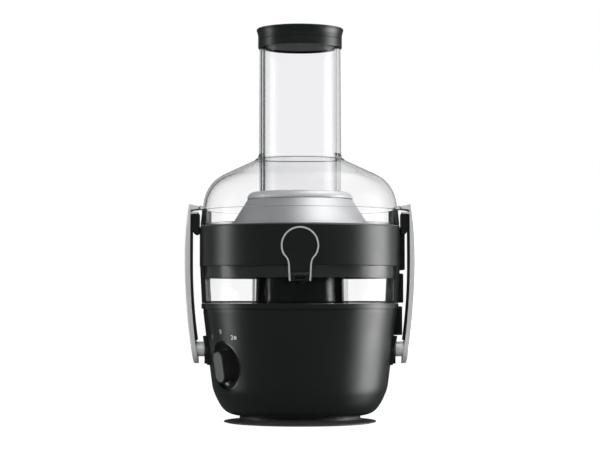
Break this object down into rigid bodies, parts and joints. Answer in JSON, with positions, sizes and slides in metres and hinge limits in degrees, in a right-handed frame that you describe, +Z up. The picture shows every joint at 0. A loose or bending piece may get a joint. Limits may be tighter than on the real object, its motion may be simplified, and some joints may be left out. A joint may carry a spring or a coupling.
{
  "type": "centrifugal juicer",
  "caption": "Upright centrifugal juicer with a clear lid and wide feed tube, fold-down spout, see-through pulp container, dial on a tapered black motor base and swing-out side clamps.",
  "frame": {"origin": "on the table plane, under the vertical spin axis", "axes": "+Z up along the spin axis, the spout faces -Y, the clamps are at +X and -X"},
  "size_m": [0.2474, 0.2226, 0.427],
  "materials": {
    "black_satin": "satin moulded black",
    "black_gloss": "gloss black",
    "grey_insert": "satin grey",
    "black_liner": "satin black",
    "rubber": "matt black rubber",
    "clear": "clear polished plastic",
    "satin_aluminium": "satin",
    "guard_steel": "finely brushed",
    "steel": "bright",
    "rim_plastic": "light grey",
    "trim_chrome": "polished",
    "core_iron": "laminated",
    "copper": "enamelled copper wire",
    "cast_bracket": "die cast",
    "fan_plastic": "black",
    "brass": "pressed brass",
    "carbon": "sintered carbon",
    "board": "circuit board green"
  },
  "bodies": {
    "base": {"foot_spool": "black_satin", "non_slip_pad": "rubber", "foot_screws": "steel", "base_housing": "black_satin", "cord_bush": "rubber", "top_deck": "black_gloss", "tower_seal": "rubber", "clamp_brackets": "black_satin", "clamp_pins": "steel", "knob_bezel": "black_gloss", "rotary_switch": "board", "stator_core": "core_iron", "field_coils": "copper", "bearings": "steel", "lower_bracket": "cast_bracket", "upper_bracket": "cast_bracket", "motor_bolts": "steel", "dampers": "rubber", "damper_screws": "steel", "brush_holders": "brass", "carbon_brushes": "carbon", "circuit_board": "board", "safety_switch": "board", "base_grip": "black_satin"},
    "rotor": {"motor_shaft": "steel", "rotor_core": "core_iron", "rotor_windings": "copper", "commutator": "copper", "cooling_fan": "fan_plastic", "drive_coupling": "fan_plastic"},
    "knob": {"control_knob": "black_gloss", "knob_insert": "grey_insert"},
    "clamp_right": {"clamp_arm_right": "satin_aluminium", "clamp_liner_right": "black_liner", "clamp_hook_right": "black_satin"},
    "clamp_left": {"clamp_arm_left": "satin_aluminium", "clamp_liner_left": "black_liner", "clamp_hook_left": "black_satin"},
    "container": {"pulp_container": "clear", "container_side_panels": "black_satin", "container_grip": "black_satin"},
    "collector": {"juice_collector": "black_satin", "juice_guard": "guard_steel", "lid_seal": "grey_insert", "spout_trim": "trim_chrome", "spout_hinge_block": "black_satin", "spout_pin": "steel", "collector_grip": "black_satin"},
    "filter": {"filter_hub": "black_satin", "filter_basket": "steel", "filter_rim": "rim_plastic", "grating_disc": "steel", "disc_nut": "steel"},
    "spout": {"spout_flap": "black_satin"},
    "lid": {"lid": "clear", "lid_ears": "black_satin", "lid_catches": "satin_aluminium"},
    "pusher": {"pusher_tube": "clear", "pusher_cap": "black_satin", "pusher_plug": "black_satin"}
  },
  "joints": [
    {"name": "motor_spin", "type": "hinge", "parent": "base", "child": "rotor", "pos_m": [0, 0, 0.1], "axis": [0, 0, 1], "continuous": true},
    {"name": "knob_turn", "type": "hinge", "parent": "base", "child": "knob", "pos_m": [-0.07978, -0.05587, 0.0625], "axis": [-0.8091, -0.5665, -0.1564], "range_deg": [-40, 40]},
    {"name": "clamp_right_swing", "type": "hinge", "parent": "base", "child": "clamp_right", "pos_m": [0.097, 0, 0.0793], "axis": [0, 1, 0], "range_deg": [0, 30]},
    {"name": "clamp_left_swing", "type": "hinge", "parent": "base", "child": "clamp_left", "pos_m": [-0.097, 0, 0.0793], "axis": [0, -1, 0], "range_deg": [0, 30]},
    {"name": "container_lift", "type": "slide", "parent": "base", "child": "container", "axis": [0, 0, 1], "range_m": [0, 0.12]},
    {"name": "collector_lift", "type": "slide", "parent": "container", "child": "collector", "axis": [0, 0, 1], "range_m": [0, 0.1]},
    {"name": "spout_fold", "type": "hinge", "parent": "collector", "child": "spout", "pos_m": [0, -0.1115, 0.1575], "axis": [1, 0, 0], "range_deg": [0, 100]},
    {"name": "filter_spin", "type": "hinge", "parent": "collector", "child": "filter", "pos_m": [0, 0, 0.2], "axis": [0, 0, 1], "continuous": true},
    {"name": "lid_lift", "type": "slide", "parent": "collector", "child": "lid", "axis": [0, 0, 1], "range_m": [0, 0.15]},
    {"name": "pusher_lift", "type": "slide", "parent": "lid", "child": "pusher", "axis": [0, 0, 1], "range_m": [0, 0.2]}
  ],
  "couplings": [
    {"joint": "filter_spin", "follows": "motor_spin", "ratio": 1}
  ]
}
